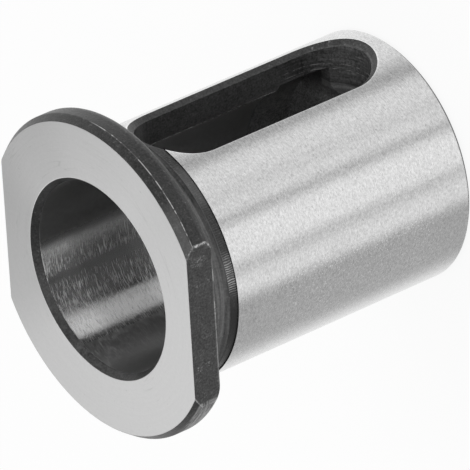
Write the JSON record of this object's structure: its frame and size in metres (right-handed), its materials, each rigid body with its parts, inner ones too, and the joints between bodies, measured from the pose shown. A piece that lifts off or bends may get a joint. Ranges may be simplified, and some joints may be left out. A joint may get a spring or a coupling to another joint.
{
  "type": "reducing drill sleeve",
  "caption": "Steel sleeve that fits a 19.05 mm drill shank to a 25 mm holder bore, with a collar cut by two flats and a clamping slot in one wall.",
  "frame": {"origin": "on the bore's axis at the rear end, which the sleeve stands on", "axes": "+Z along the bore axis towards the collar, the clamping slot opens towards -Y, the collar's flats face -X and +X"},
  "size_m": [0.0274, 0.0322, 0.035],
  "materials": {
    "sleeve_steel": "hardened steel, ground bright on the shank and the collar's face, blackened everywhere else"
  },
  "bodies": {
    "root": {"drill_sleeve": "sleeve_steel"}
  },
  "joints": []
}
